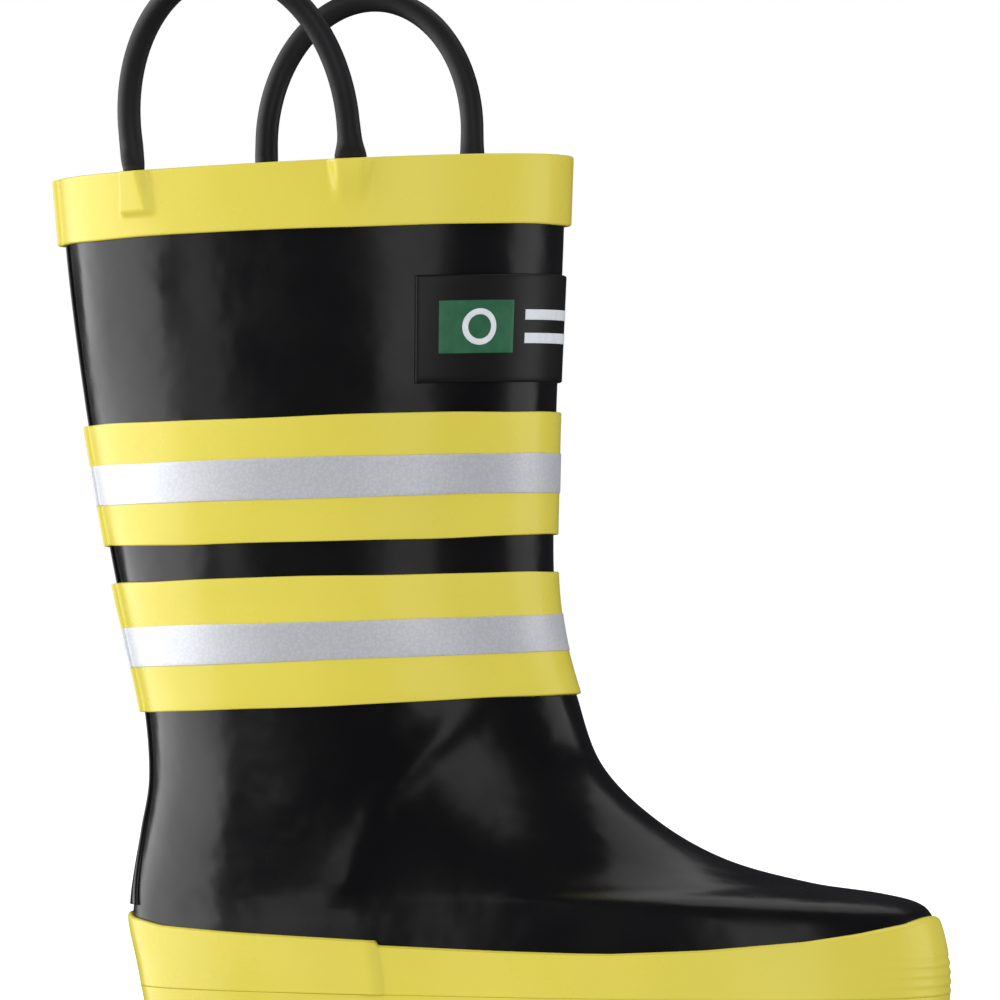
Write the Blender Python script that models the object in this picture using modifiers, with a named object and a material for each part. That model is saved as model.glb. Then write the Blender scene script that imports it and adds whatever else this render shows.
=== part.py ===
"""A child's rubber rain boot in firefighter style, for the right foot.

The boot is a black vulcanised rubber upper on a cupped sole. Three yellow bands
go round the shaft, two of them with a silver strip, and a yellow foxing strip goes
round the foot. Two rubber pull handles stand on the rim, with their roots under
the top band. Inside are a knitted lining, two stiffeners, a board and an insole.

Every length in this file is in millimetres and is scaled to metres when a mesh is
made. The foot points along +X, the inner (medial) side of the foot is +Y, and the
ground is z = 0. FRAME_CENTRE puts the origin under the middle of the boot.
"""

import math

import bmesh
import bpy
import numpy as np

MM = 0.001
FRAME_CENTRE = np.array([-12.355, -0.402, 0.0])

# The upper is a loft of tilted slices. Each slice runs from the heel line (x, z) to
# the instep line (x, z); then come its half width, the share of its length at which
# it is widest, and the roundness of its front and rear halves (2 is an ellipse).
SLICES = [
    (-96.0, 14.0, 95.6, 14.0, 36.0, 0.66, 2.30, 2.50),
    (-98.9, 27.0, 97.4, 27.0, 36.6, 0.66, 2.30, 2.50),
    (-101.8, 37.0, 96.0, 39.0, 36.0, 0.65, 2.25, 2.45),
    (-102.4, 40.3, 93.0, 43.8, 35.4, 0.64, 2.20, 2.40),
    (-102.3, 42.8, 84.0, 46.4, 34.8, 0.62, 2.15, 2.35),
    (-101.9, 46.6, 66.0, 49.0, 33.6, 0.57, 2.10, 2.30),
    (-100.9, 52.6, 45.0, 54.6, 33.0, 0.51, 2.05, 2.20),
    (-99.2, 61.0, 28.0, 64.0, 33.2, 0.47, 2.05, 2.15),
    (-97.7, 73.2, 14.5, 77.0, 34.2, 0.45, 2.05, 2.10),
    (-99.2, 89.3, 8.0, 93.6, 36.0, 0.46, 2.05, 2.10),
    (-102.8, 104.5, 4.2, 108.0, 37.4, 0.47, 2.10, 2.10),
    (-106.6, 120.5, 2.2, 123.4, 38.4, 0.48, 2.10, 2.10),
    (-111.4, 145.0, 2.2, 148.0, 39.6, 0.49, 2.15, 2.10),
    (-114.8, 165.0, 2.8, 168.0, 40.4, 0.50, 2.20, 2.15),
    (-118.4, 192.0, 4.2, 196.0, 41.2, 0.50, 2.20, 2.20),
    (-121.0, 217.9, 5.2, 223.2, 42.0, 0.50, 2.20, 2.20),
]

# The foot part is waisted under the arch, and the toe swings to the inner side.
WAIST_X = -22.0
WAIST_SPAN = 34.0
WAIST_IN = 0.09
WAIST_OUT = 0.03
TOE_SWING = 5.0

# The footbed falls from heel to ball and rises again at the toe.
BALL_DROP = 4.5
TOE_RISE = 2.5
FLAT_BASE = 14.0
BASE_BLEND = 20.0

GAP = 0.3
SHELL = 1.6
LINING = 1.0
LINING_TUCK = 1.0
STIFFENER = 0.7
LASTING_MARGIN = 9.0
SEAM = 0.009

TAPE = 0.9
SILVER = 0.35
SILVER_GAP = 0.2
TOP_BAND = 1.6
BACK_STRIP = 0.8
LAP_LIFT = 1.2

# Heights on the heel line. The slices' tilt sets the height at the front.
SHELL_JOINT = 104.5
TOP_BAND_Z = 202.1
UPPER_TAPE_Z = (129.1, 139.2, 148.8, 158.6)
LOWER_TAPE_Z = (89.3, 100.3, 109.7, 120.5)
BACK_STRIP_Z = (44.5, 216.0)
LABEL_Z = (165.6, 190.6)
LABEL_FIELD_Z = (172.4, 184.6)

# Angles round the boot, in degrees: 0 at the front, 180 at the back, and
# negative on the outer (lateral) side.
STRIP_EDGE = 163.5
LAP_EDGE = 161.5
LAP_FOOT = 157.5
LABEL_SPAN = (-55.0, 20.0)
LABEL_FIELD_SPAN = (-48.6, -24.0)
LABEL_BAR_SPAN = (-19.0, 12.0)
LABEL_BARS_Z = ((174.6, 177.0), (180.0, 182.4))
LABEL_DISC_R = 4.4
LABEL = 0.9
LABEL_PRINT = 0.3
LABEL_PRINT_GAP = 0.25

FOXING_BOTTOM = 23.1
FOXING_TOP = [
    (-102.5, 41.3), (-98.0, 39.6), (-88.0, 38.0), (-68.0, 37.0), (-30.0, 35.6), (-24.0, 34.2),
    (0.0, 33.8), (27.0, 33.4), (51.0, 34.5), (74.0, 36.5), (85.0, 38.2), (94.0, 40.2), (97.0, 41.6),
]
FOXING_WALL_TOP = 1.3
FOXING_WALL_BOTTOM = 2.1
FOXING_LAP_X = (-36.5, -34.5, -31.5, -30.0)
FOXING_LAP = 0.8

OUTSOLE_TOP = 22.8
OUTSOLE_WALL = 2.3
OUTSOLE_FLOOR = 1.9
SOLE_LINE = [
    (-99.0, 1.2), (-91.0, 0.0), (-44.0, 0.0), (-36.0, 3.0), (-22.0, 3.2), (-8.0, 0.0),
    (58.0, 0.0), (80.0, 2.2), (99.0, 6.5),
]
GROOVES = [
    (-82.0, 18.0), (-73.0, 22.0), (-64.0, 23.5), (-55.0, 24.0),
    (2.0, 24.0), (12.0, 26.0), (22.0, 27.0), (32.0, 27.0), (42.0, 26.0), (52.0, 24.0),
]
GROOVE_WIDTH = 3.0
GROOVE_DEPTH = 2.2
GROOVE_TIP = 5.0

BOARD = (0.3, 1.9)
BOARD_INSET = 2.2
FILLER = (-1.6, 0.0)
FILLER_INSET = 9.5
INSOLE_INSET = 4.8
INSOLE_UNDER = 2.2
FOAM_HEEL = 4.0
FOAM_TOE = 3.0
COVER = 0.8
CUFF_START = 2.3

# Pull handles: angles of the two roots, height of the loop's centreline above the
# hinge line, and outward lean.
HANDLES = {
    "lateral": {"roots": (-71.4, -119.8), "widths": (9.0, 7.6), "height": 41.5, "lean": -9.5},
    "medial": {"roots": (66.5, 113.1), "widths": (9.0, 7.6), "height": 38.5, "lean": 8.5},
}
HANDLE_R = 2.8
HINGE_RISE = 5.0
STUB_OUT = 1.9
LEG_STRAIGHT = 4.0
TAB_DEPTH = 11.0
TAB_THICK = 3.2
TAB_THIN = 1.5

BLACK = (0.012, 0.012, 0.013)
YELLOW = (0.75, 0.66, 0.10)
SILVER_GREY = (0.55, 0.56, 0.58)
GREEN = (0.02, 0.12, 0.05)
PALE = (0.70, 0.72, 0.74)
KNIT = (0.55, 0.54, 0.50)
FIBRE = (0.35, 0.24, 0.14)
FOAM_GREY = (0.25, 0.26, 0.28)

ROWS = np.array(SLICES)
STEPS = np.maximum(
    np.hypot(np.diff(ROWS[:, 0]), np.diff(ROWS[:, 1])),
    np.hypot(np.diff(ROWS[:, 2]), np.diff(ROWS[:, 3])),
)
LEVELS = np.concatenate([[0.0], np.cumsum(STEPS)])
THETAS = np.radians(
    [a for a in range(-180, 180, 10) if a not in (-160, 160)]
    + [LAP_FOOT, LAP_EDGE, -LAP_FOOT, -LAP_EDGE]
)
THETAS.sort()


def smooth(t):
    t = min(max(t, 0.0), 1.0)
    return t * t * (3.0 - 2.0 * t)


def slice_at(level):
    """The slice values at a level, by a Catmull-Rom curve through SLICES."""
    i = min(max(int(np.searchsorted(LEVELS, level)) - 1, 0), len(LEVELS) - 2)
    span = LEVELS[i + 1] - LEVELS[i]
    t = (level - LEVELS[i]) / span

    def slope(k):
        lower, upper = max(k - 1, 0), min(k + 1, len(LEVELS) - 1)
        return (ROWS[upper] - ROWS[lower]) / (LEVELS[upper] - LEVELS[lower]) * span

    return (
        (2 * t**3 - 3 * t**2 + 1) * ROWS[i]
        + (t**3 - 2 * t**2 + t) * slope(i)
        + (3 * t**2 - 2 * t**3) * ROWS[i + 1]
        + (t**3 - t**2) * slope(i + 1)
    )


def footbed_drop(x):
    return BALL_DROP * smooth((x + 60.0) / 70.0) - TOE_RISE * smooth((x - 45.0) / 50.0)


def base_z(x):
    """Height of the upper's lowest ring at x."""
    return FLAT_BASE - footbed_drop(x)


def surface(theta, level):
    """A point on the outside of the upper."""
    xb, zb, xf, zf, width, widest, front, rear = slice_at(level)
    cosine, sine = math.cos(theta), math.sin(theta)
    power = 2.0 / (front if cosine > 0 else rear)
    reach = abs(cosine) ** power
    share = widest + (1.0 - widest) * reach if cosine > 0 else widest - widest * reach
    x = xb + (xf - xb) * share
    y = math.copysign(width * abs(sine) ** power, sine)
    z = zb + (zf - zb) * share
    low = 1.0 - smooth((z - 30.0) / 50.0)
    waist = WAIST_IN if sine > 0 else WAIST_OUT
    y *= 1.0 - waist * low * math.exp(-(((x - WAIST_X) / WAIST_SPAN) ** 2))
    y += TOE_SWING * smooth((x - 10.0) / 85.0)
    z -= footbed_drop(x) * (1.0 - smooth((z - FLAT_BASE) / BASE_BLEND))
    return np.array([x, y, z])


def normal(theta, level):
    """The outward unit normal of the upper."""
    around = surface(theta + 0.02, level) - surface(theta - 0.02, level)
    lower, upper = max(level - 0.3, 0.0), min(level + 0.3, LEVELS[-1])
    up = surface(theta, upper) - surface(theta, lower)
    across = np.cross(around, up)
    return across / np.linalg.norm(across)


def raised(theta, level, lift):
    return surface(theta, level) + normal(theta, level) * lift


def level_at_heel(z):
    """The level whose slice starts at height z on the heel line."""
    return float(np.interp(z, ROWS[:, 1], LEVELS))


def level_at(theta, z):
    """The level at which the upper reaches height z at this angle."""
    lower, upper = 0.0, LEVELS[-1]
    for _ in range(40):
        middle = (lower + upper) / 2.0
        if surface(theta, middle)[2] < z:
            lower = middle
        else:
            upper = middle
    return lower


def at_height(theta, z, lift):
    """A point at height z, moved sideways off the upper by lift."""
    level = level_at(theta, z)
    point, aside = surface(theta, level), normal(theta, level)
    flat = math.hypot(aside[0], aside[1])
    return np.array([point[0] + aside[0] / flat * lift, point[1] + aside[1] / flat * lift, z])


def outline(theta, inset, rise):
    """A point of the foot's plan, moved in by inset, at a height above the base."""
    point, aside = surface(theta, 0.0), surface(theta + 0.02, 0.0) - surface(theta - 0.02, 0.0)
    length = math.hypot(aside[0], aside[1])
    x = point[0] - aside[1] / length * inset
    y = point[1] + aside[0] / length * inset
    return np.array([x, y, base_z(x) + rise(x)])


def lap_lift(theta):
    """The bands rise over the back strip."""
    away = math.degrees(math.pi - abs(theta))
    return LAP_LIFT * smooth((180.0 - LAP_FOOT - away) / (LAP_EDGE - LAP_FOOT))


parts = bpy.data.collections.new("child_fire_boot")
cutters = bpy.data.collections.new("cutters")


def clear_scene():
    for item in list(bpy.data.objects):
        bpy.data.objects.remove(item, do_unlink=True)
    for collection in (parts, cutters):
        bpy.context.scene.collection.children.link(collection)
    cutters.hide_render = True


def finish_material(item, colour, roughness, metallic=0.0):
    material = bpy.data.materials.new(item.name + "_material")
    material.use_nodes = True
    shader = material.node_tree.nodes["Principled BSDF"]
    shader.inputs["Base Color"].default_value = (*colour, 1.0)
    shader.inputs["Roughness"].default_value = roughness
    shader.inputs["Metallic"].default_value = metallic
    item.data.materials.append(material)


def add_mesh(name, points, faces, origin=None, collection=parts):
    """A mesh object from points in millimetres, with its origin at a point of the foot."""
    origin = FRAME_CENTRE if origin is None else np.asarray(origin)
    mesh = bpy.data.meshes.new(name)
    mesh.from_pydata([tuple((np.asarray(p) - origin) * MM) for p in points], [], faces)
    build = bmesh.new()
    build.from_mesh(mesh)
    if all(edge.is_manifold for edge in build.edges):
        bmesh.ops.recalc_face_normals(build, faces=build.faces)
    build.to_mesh(mesh)
    build.free()
    item = bpy.data.objects.new(name, mesh)
    item.location = (origin - FRAME_CENTRE) * MM
    collection.objects.link(item)
    return item


def grid_faces(rows, columns, wrap):
    faces = []
    for i in range(rows - 1):
        for j in range(columns if wrap else columns - 1):
            k = (j + 1) % columns
            faces.append((i * columns + j, i * columns + k, (i + 1) * columns + k, (i + 1) * columns + j))
    return faces


def sheet(name, grid, thickness, wrap, origin=None):
    """A lofted surface made solid: outwards for a positive thickness, inwards for a negative one."""
    columns = len(grid[0])
    points = [point for row in grid for point in row]
    item = add_mesh(name, points, grid_faces(len(grid), columns, wrap), origin)
    solid = item.modifiers.new("thickness", "SOLIDIFY")
    solid.thickness = abs(thickness) * MM
    solid.offset = math.copysign(1.0, thickness)
    solid.use_even_offset = True
    solid.use_quality_normals = True
    return item


def skin(name, thetas, levels, thickness, lift, wrap):
    """A sheet over part of the upper, raised off it by lift(theta, level)."""
    grid = [[raised(theta, level, lift(theta, level)) for theta in thetas] for level in levels]
    return sheet(name, grid, thickness, wrap)


def ladder(first, columns):
    """Quads that close a ring by joining each angle to its mirror image."""
    order = sorted(range(columns), key=lambda j: (abs(THETAS[j]), THETAS[j] > 0))
    front, back = order[0], order[-1] if abs(THETAS[order[-1]]) > 3.14 else order[0]
    pairs = [(order[k], order[k + 1]) for k in range(1, columns - 1, 2)]
    faces = [(first + front, first + pairs[0][0], first + pairs[0][1])]
    for (low_a, high_a), (low_b, high_b) in zip(pairs, pairs[1:]):
        faces.append((first + low_a, first + low_b, first + high_b, first + high_a))
    faces.append((first + pairs[-1][0], first + back, first + pairs[-1][1]))
    return faces


def capped_rings(name, rings, origin=None):
    """A closed body through a stack of rings, with a ladder over each end."""
    columns = len(THETAS)
    points = [point for ring in rings for point in ring]
    faces = grid_faces(len(rings), columns, True)
    faces += ladder(0, columns) + ladder((len(rings) - 1) * columns, columns)
    return add_mesh(name, points, faces, origin)


def looped_rings(name, rings):
    """A closed tube wall: the last ring joins the first."""
    columns = len(rings[0])
    points = [point for ring in rings for point in ring]
    faces = grid_faces(len(rings), columns, True)
    last = (len(rings) - 1) * columns
    for j in range(columns):
        k = (j + 1) % columns
        faces.append((last + j, last + k, k, j))
    return add_mesh(name, points, faces)


def plate(name, inset, bottom, top, origin=None):
    """A flat piece with the foot's plan; bottom and top are heights above the base."""
    rings = [[outline(theta, inset, rise) for theta in THETAS] for rise in (bottom, top)]
    return capped_rings(name, rings, origin)


def shell_levels():
    """The rows of the upper: its slices, and the edges of the bands on it."""
    edges = (SHELL_JOINT, UPPER_TAPE_Z[0], UPPER_TAPE_Z[3], TOP_BAND_Z)
    return sorted(set(LEVELS) | {level_at_heel(z) for z in edges})


def make_vamp_half(name, turn, levels):
    """One side of the vamp, turned in under the board, for turn -1 (outer) or 1 (inner)."""
    side = [turn * math.pi - turn * SEAM, turn * SEAM]
    side += [theta for theta in THETAS if 0.01 < theta * turn < math.pi - 0.01]
    side.sort()
    grid = [
        [outline(theta, LASTING_MARGIN, lambda x: -SHELL) for theta in side],
        [outline(theta, SHELL, lambda x: -SHELL) for theta in side],
    ]
    grid += [[surface(theta, level) for theta in side] for level in levels]
    finish_material(sheet(name, grid, -SHELL, False), BLACK, 0.12)


def make_upper():
    """Two vamp halves, met under the lower band by the shaft."""
    joint = level_at_heel(SHELL_JOINT)
    below = [level for level in shell_levels() if level < joint - 1.0] + [joint - GAP / 2.0]
    above = [joint + GAP / 2.0] + [level for level in shell_levels() if level > joint + 1.0]
    make_vamp_half("vamp_outer_shell", -1.0, below)
    make_vamp_half("vamp_inner_shell", 1.0, below)
    shaft = skin("shaft_shell", THETAS, above, -SHELL, lambda theta, level: 0.0, True)
    finish_material(shaft, BLACK, 0.12)


def make_back_strip():
    low, high = (level_at_heel(z) for z in BACK_STRIP_Z)
    edges = [STRIP_EDGE, 170.0, 180.0, 190.0, 360.0 - STRIP_EDGE]
    between = [level for level in shell_levels() if low + 1.0 < level < high - 1.0]
    strip = skin(
        "back_strip",
        np.radians(edges),
        [low, *between, high],
        BACK_STRIP,
        lambda theta, level: GAP,
        False,
    )
    finish_material(strip, BLACK, 0.15)


def lining_depth(z):
    """How far in the lining starts: it makes room for the stiffeners round the foot."""
    return SHELL + GAP + LINING_TUCK * (1.0 - smooth((z - 72.0) / 20.0))


def cuff_row(thetas, lift):
    """The lowest row of the lining and stiffeners, just above the board."""
    return [at_height(theta, base_z(surface(theta, 0.0)[0]) + CUFF_START, lift) for theta in thetas]


def make_lining():
    grid = [cuff_row(THETAS, -lining_depth(0.0))]
    for level in LEVELS[1:-1]:
        grid.append([raised(theta, level, -lining_depth(surface(theta, level)[2])) for theta in THETAS])
    top = LEVELS[-1] - 1.2
    grid.append([raised(theta, top, -SHELL - GAP) for theta in THETAS])
    lining = sheet("lining_sock", grid, -LINING, True)
    finish_material(lining, KNIT, 0.9)


def make_stiffeners():
    depth = -SHELL - GAP
    front = [theta for theta in THETAS if abs(theta) < math.radians(76.0)]
    grid = [cuff_row(front, depth)]
    for level in LEVELS[1:6]:
        grid.append([raised(theta, level, depth) for theta in front])
    puff = sheet("toe_puff", grid, -STIFFENER, False)
    finish_material(puff, FIBRE, 0.8)

    rear = sorted(theta % (2.0 * math.pi) for theta in THETAS if abs(theta) > math.radians(109.0))
    grid = [cuff_row(rear, depth)]
    for level in LEVELS[1:8]:
        grid.append([raised(theta, level, depth) for theta in rear])
    counter = sheet("heel_counter", grid, -STIFFENER, False)
    finish_material(counter, FIBRE, 0.8)


def make_bands():
    for name, heights in (("upper_tape", UPPER_TAPE_Z), ("lower_tape", LOWER_TAPE_Z)):
        levels = [level_at_heel(z) for z in heights]
        tape = skin(name, THETAS, levels, TAPE, lambda theta, level: GAP + lap_lift(theta), True)
        finish_material(tape, YELLOW, 0.35)
        over = GAP + TAPE + SILVER_GAP
        silver = skin(
            name + "_silver", THETAS, levels[1:3], SILVER, lambda theta, level: over + lap_lift(theta), True
        )
        finish_material(silver, SILVER_GREY, 0.3, 0.4)


def rim_arc(theta):
    """Millimetres of rim per radian at this angle."""
    top = LEVELS[-1]
    return np.linalg.norm(surface(theta + 0.02, top) - surface(theta - 0.02, top)) / 0.04


def roots():
    """The angle and width of every handle root."""
    for handle in HANDLES.values():
        for angle, width in zip(handle["roots"], handle["widths"]):
            yield math.radians(angle), width


def tab_thickness(depth):
    """A handle root is thick at the rim and thins towards its lower end."""
    return TAB_THICK + (TAB_THIN - TAB_THICK) * min(max(depth / TAB_DEPTH, 0.0), 1.0)


def tab_lift(theta, depth):
    """How far the top band stands off over the handle roots, at a depth below the rim."""
    fade = 1.0 - smooth((depth - TAB_DEPTH - 0.6) / 2.4)
    lift = 0.0
    for angle, width in roots():
        away = abs(theta - angle) * rim_arc(angle) - width / 2.0
        cover = 1.0 - smooth((away - 0.5) / 2.4)
        lift = max(lift, cover * (tab_thickness(depth) + GAP))
    return lift * fade


def make_top_band():
    thetas = set(THETAS)
    for angle, width in roots():
        for away in (0.0, width / 2.0 + 0.5, width / 2.0 + 2.9):
            step = away / rim_arc(angle)
            for near in (angle - step, angle + step):
                thetas = {theta for theta in thetas if abs(theta - near) > 0.03} | {near}
    rim = LEVELS[-1]
    depths = [rim - level_at_heel(TOP_BAND_Z), TAB_DEPTH + 3.0, TAB_DEPTH + 0.6, 6.0, 0.0]
    band = skin(
        "top_band",
        sorted(thetas),
        [rim - depth for depth in depths],
        TOP_BAND,
        lambda theta, level: GAP + max(lap_lift(theta), tab_lift(theta, rim - level)),
        True,
    )
    finish_material(band, YELLOW, 0.35)


def make_label():
    lines = list(np.arange(LABEL_SPAN[0], LABEL_SPAN[1] + 1.0, 5.0))
    lines = [a for a in lines if all(abs(a - b) > 1.6 for b in LABEL_FIELD_SPAN + LABEL_BAR_SPAN)]
    angles = np.radians(sorted(lines + list(LABEL_FIELD_SPAN + LABEL_BAR_SPAN)))
    levels = [level_at_heel(z) for z in (LABEL_Z[0], *LABEL_FIELD_Z, LABEL_Z[1])]
    patch = skin("label_patch", angles, levels, LABEL, lambda theta, level: GAP, False)
    finish_material(patch, BLACK, 0.3)

    def within(span):
        low, high = math.radians(span[0]) - 1e-6, math.radians(span[1]) + 1e-6
        return [angle for angle in angles if low <= angle <= high]

    over = GAP + LABEL + LABEL_PRINT_GAP
    field = skin(
        "label_field", within(LABEL_FIELD_SPAN), levels[1:3], LABEL_PRINT, lambda theta, level: over, False
    )
    finish_material(field, GREEN, 0.35)
    for name, heights in zip(("label_bar_lower", "label_bar_upper"), LABEL_BARS_Z):
        bar_levels = [level_at_heel(z) for z in heights]
        bar = skin(name, within(LABEL_BAR_SPAN), bar_levels, LABEL_PRINT, lambda theta, level: over, False)
        finish_material(bar, PALE, 0.4)

    centre = math.radians(sum(LABEL_FIELD_SPAN) / 2.0)
    middle = sum(levels[1:3]) / 2.0
    step = surface(centre + 0.02, middle) - surface(centre - 0.02, middle)
    per_radian = np.linalg.norm(step) / 0.04
    over += LABEL_PRINT + LABEL_PRINT_GAP
    rows = []
    for lift in (over, over + LABEL_PRINT):
        row = []
        for turn in np.linspace(0.0, 2.0 * math.pi, 16, endpoint=False):
            aside = LABEL_DISC_R * math.cos(turn) / per_radian
            row.append(raised(centre + aside, middle + LABEL_DISC_R * math.sin(turn), lift))
        rows.append(row)
    faces = grid_faces(2, 16, True) + [tuple(range(16)), tuple(range(16, 32))]
    disc = add_mesh("label_disc", rows[0] + rows[1], faces)
    finish_material(disc, PALE, 0.4)


def foxing_top(x):
    table = np.array(FOXING_TOP)
    return float(np.interp(x, table[:, 0], table[:, 1]))


def foxing_lap(theta):
    """The strip's ends overlap on the outer side, as a low ridge."""
    start, full, fall, end = FOXING_LAP_X
    x = surface(theta, level_at(theta, 30.0))[0]
    ridge = smooth((x - start) / (full - start)) * (1.0 - smooth((x - fall) / (end - fall)))
    return FOXING_LAP * ridge if theta < 0 else 0.0


def make_foxing():
    lap_thetas = []
    for x in FOXING_LAP_X:
        low, high = math.radians(-150.0), math.radians(-60.0)
        for _ in range(30):
            middle = (low + high) / 2.0
            if surface(middle, level_at(middle, 30.0))[0] < x:
                low = middle
            else:
                high = middle
        lap_thetas.append(low)
    far = [theta for theta in THETAS if all(abs(theta - lap) > 0.04 for lap in lap_thetas)]
    thetas = sorted(far + lap_thetas)

    def ring(share, wall):
        row = []
        for theta in thetas:
            top = foxing_top(surface(theta, level_at(theta, 36.0))[0])
            height = FOXING_BOTTOM + (top - FOXING_BOTTOM) * share
            row.append(at_height(theta, height, wall + (foxing_lap(theta) if wall > GAP else 0.0)))
        return row

    rings = [ring(share, GAP) for share in (0.0, 0.35, 0.7, 1.0)]
    for share in (1.0, 0.94, 0.7, 0.35, 0.0):
        wall = FOXING_WALL_BOTTOM + (FOXING_WALL_TOP - FOXING_WALL_BOTTOM) * share
        rings.append(ring(share, wall * (0.75 if share == 1.0 else 1.0)))
    strip = looped_rings("foxing_strip", rings)
    finish_material(strip, YELLOW, 0.35)


def sole_line(x):
    table = np.array(SOLE_LINE)
    return float(np.interp(x, table[:, 0], table[:, 1]))


def make_outsole():
    def bottom_ring(inset, rise):
        row = []
        for theta in THETAS:
            point = outline(theta, inset, lambda x: 0.0)
            point[2] = sole_line(point[0]) + rise
            row.append(point)
        return row

    rings = [
        bottom_ring(0.4 - OUTSOLE_WALL + 1.0, 0.0),
        bottom_ring(0.4 - OUTSOLE_WALL, 1.2),
        [at_height(theta, base_z(surface(theta, 0.0)[0]) + 0.2, OUTSOLE_WALL - 0.2) for theta in THETAS],
        [at_height(theta, OUTSOLE_TOP, OUTSOLE_WALL - 0.1) for theta in THETAS],
        [at_height(theta, OUTSOLE_TOP, GAP) for theta in THETAS],
        [at_height(theta, base_z(surface(theta, 0.0)[0]) + 0.2, GAP) for theta in THETAS],
        [outline(theta, -GAP, lambda x: -OUTSOLE_FLOOR) for theta in THETAS],
    ]
    sole = capped_rings("outsole", rings)
    points, faces = [], []
    for x, half in GROOVES:
        first = len(points)
        side = GROOVE_WIDTH / 2.0
        plan = [
            (x - side, -half), (x + side, -half), (x + side + GROOVE_TIP, 0.0),
            (x + side, half), (x - side, half), (x - side + GROOVE_TIP, 0.0),
        ]
        for z in (-2.0, GROOVE_DEPTH):
            points += [(px, py, z) for px, py in plan]
        faces += [tuple(first + k for k in range(5, -1, -1)), tuple(first + k for k in range(6, 12))]
        for k in range(6):
            n = (k + 1) % 6
            faces.append((first + k, first + n, first + 6 + n, first + 6 + k))
    grooves = add_mesh("tread_grooves", points, faces, collection=cutters)
    grooves.hide_render = True
    grooves.display_type = "WIRE"
    cut = sole.modifiers.new("tread", "BOOLEAN")
    cut.operation = "DIFFERENCE"
    cut.solver = "EXACT"
    cut.object = grooves
    finish_material(sole, YELLOW, 0.45)


def foam_thickness(x):
    return FOAM_HEEL + (FOAM_TOE - FOAM_HEEL) * smooth((x + 60.0) / 80.0)


def make_footbed():
    board = plate("insole_board", BOARD_INSET, lambda x: BOARD[0], lambda x: BOARD[1])
    finish_material(board, FIBRE, 0.8)
    filler = plate("sole_filler", FILLER_INSET, lambda x: FILLER[0], lambda x: FILLER[1])
    finish_material(filler, FOAM_GREY, 0.9)

    hinge = outline(0.0, INSOLE_INSET, lambda x: INSOLE_UNDER)
    foam = plate(
        "insole_foam",
        INSOLE_INSET,
        lambda x: INSOLE_UNDER,
        lambda x: INSOLE_UNDER + foam_thickness(x),
        hinge,
    )
    finish_material(foam, FOAM_GREY, 0.9)
    cover = plate(
        "insole_cover",
        INSOLE_INSET,
        lambda x: INSOLE_UNDER + foam_thickness(x) + GAP,
        lambda x: INSOLE_UNDER + foam_thickness(x) + GAP + COVER,
        hinge,
    )
    finish_material(cover, KNIT, 0.9)


def root_frame(theta):
    """The rim point of a root with its around, up and outward directions."""
    top = LEVELS[-1]
    out = normal(theta, top)
    around = surface(theta + 0.02, top) - surface(theta - 0.02, top)
    around /= np.linalg.norm(around)
    up = np.cross(out, around)
    return surface(theta, top), around, up, out


def make_root(name, theta, width):
    """A tab under the top band that turns into a round stub above the rim."""
    rim, around, up, out = root_frame(theta)
    turns = np.linspace(0.0, 2.0 * math.pi, 12, endpoint=False)
    rows = []
    for depth, share in ((TAB_DEPTH, 0.7), (8.0, 0.92), (4.0, 1.0), (-0.4, 1.0)):
        half, thick = width / 2.0 * share, tab_thickness(depth)
        row = []
        for turn in turns:
            aside = half * math.copysign(abs(math.cos(turn)) ** 0.5, math.cos(turn))
            lift = GAP + thick * (0.5 + 0.5 * math.copysign(abs(math.sin(turn)) ** 0.5, math.sin(turn)))
            level = LEVELS[-1] - depth
            if depth > 0:
                row.append(raised(theta + aside / rim_arc(theta), level, lift))
            else:
                row.append(raised(theta + aside / rim_arc(theta), LEVELS[-1], lift) - up * depth)
        rows.append(row)
    for rise, radius in ((1.3, 1.06), (HINGE_RISE - HANDLE_R - GAP, 1.0)):
        centre = rim + up * rise + out * STUB_OUT
        rows.append(
            [
                centre + (around * math.cos(turn) + out * math.sin(turn)) * HANDLE_R * radius
                for turn in turns
            ]
        )
    count = len(turns)
    last = (len(rows) - 1) * count
    faces = grid_faces(len(rows), count, True) + [tuple(range(count)), tuple(range(last, last + count))]
    root = add_mesh(name, [point for row in rows for point in row], faces)
    finish_material(root, BLACK, 0.45)


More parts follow.
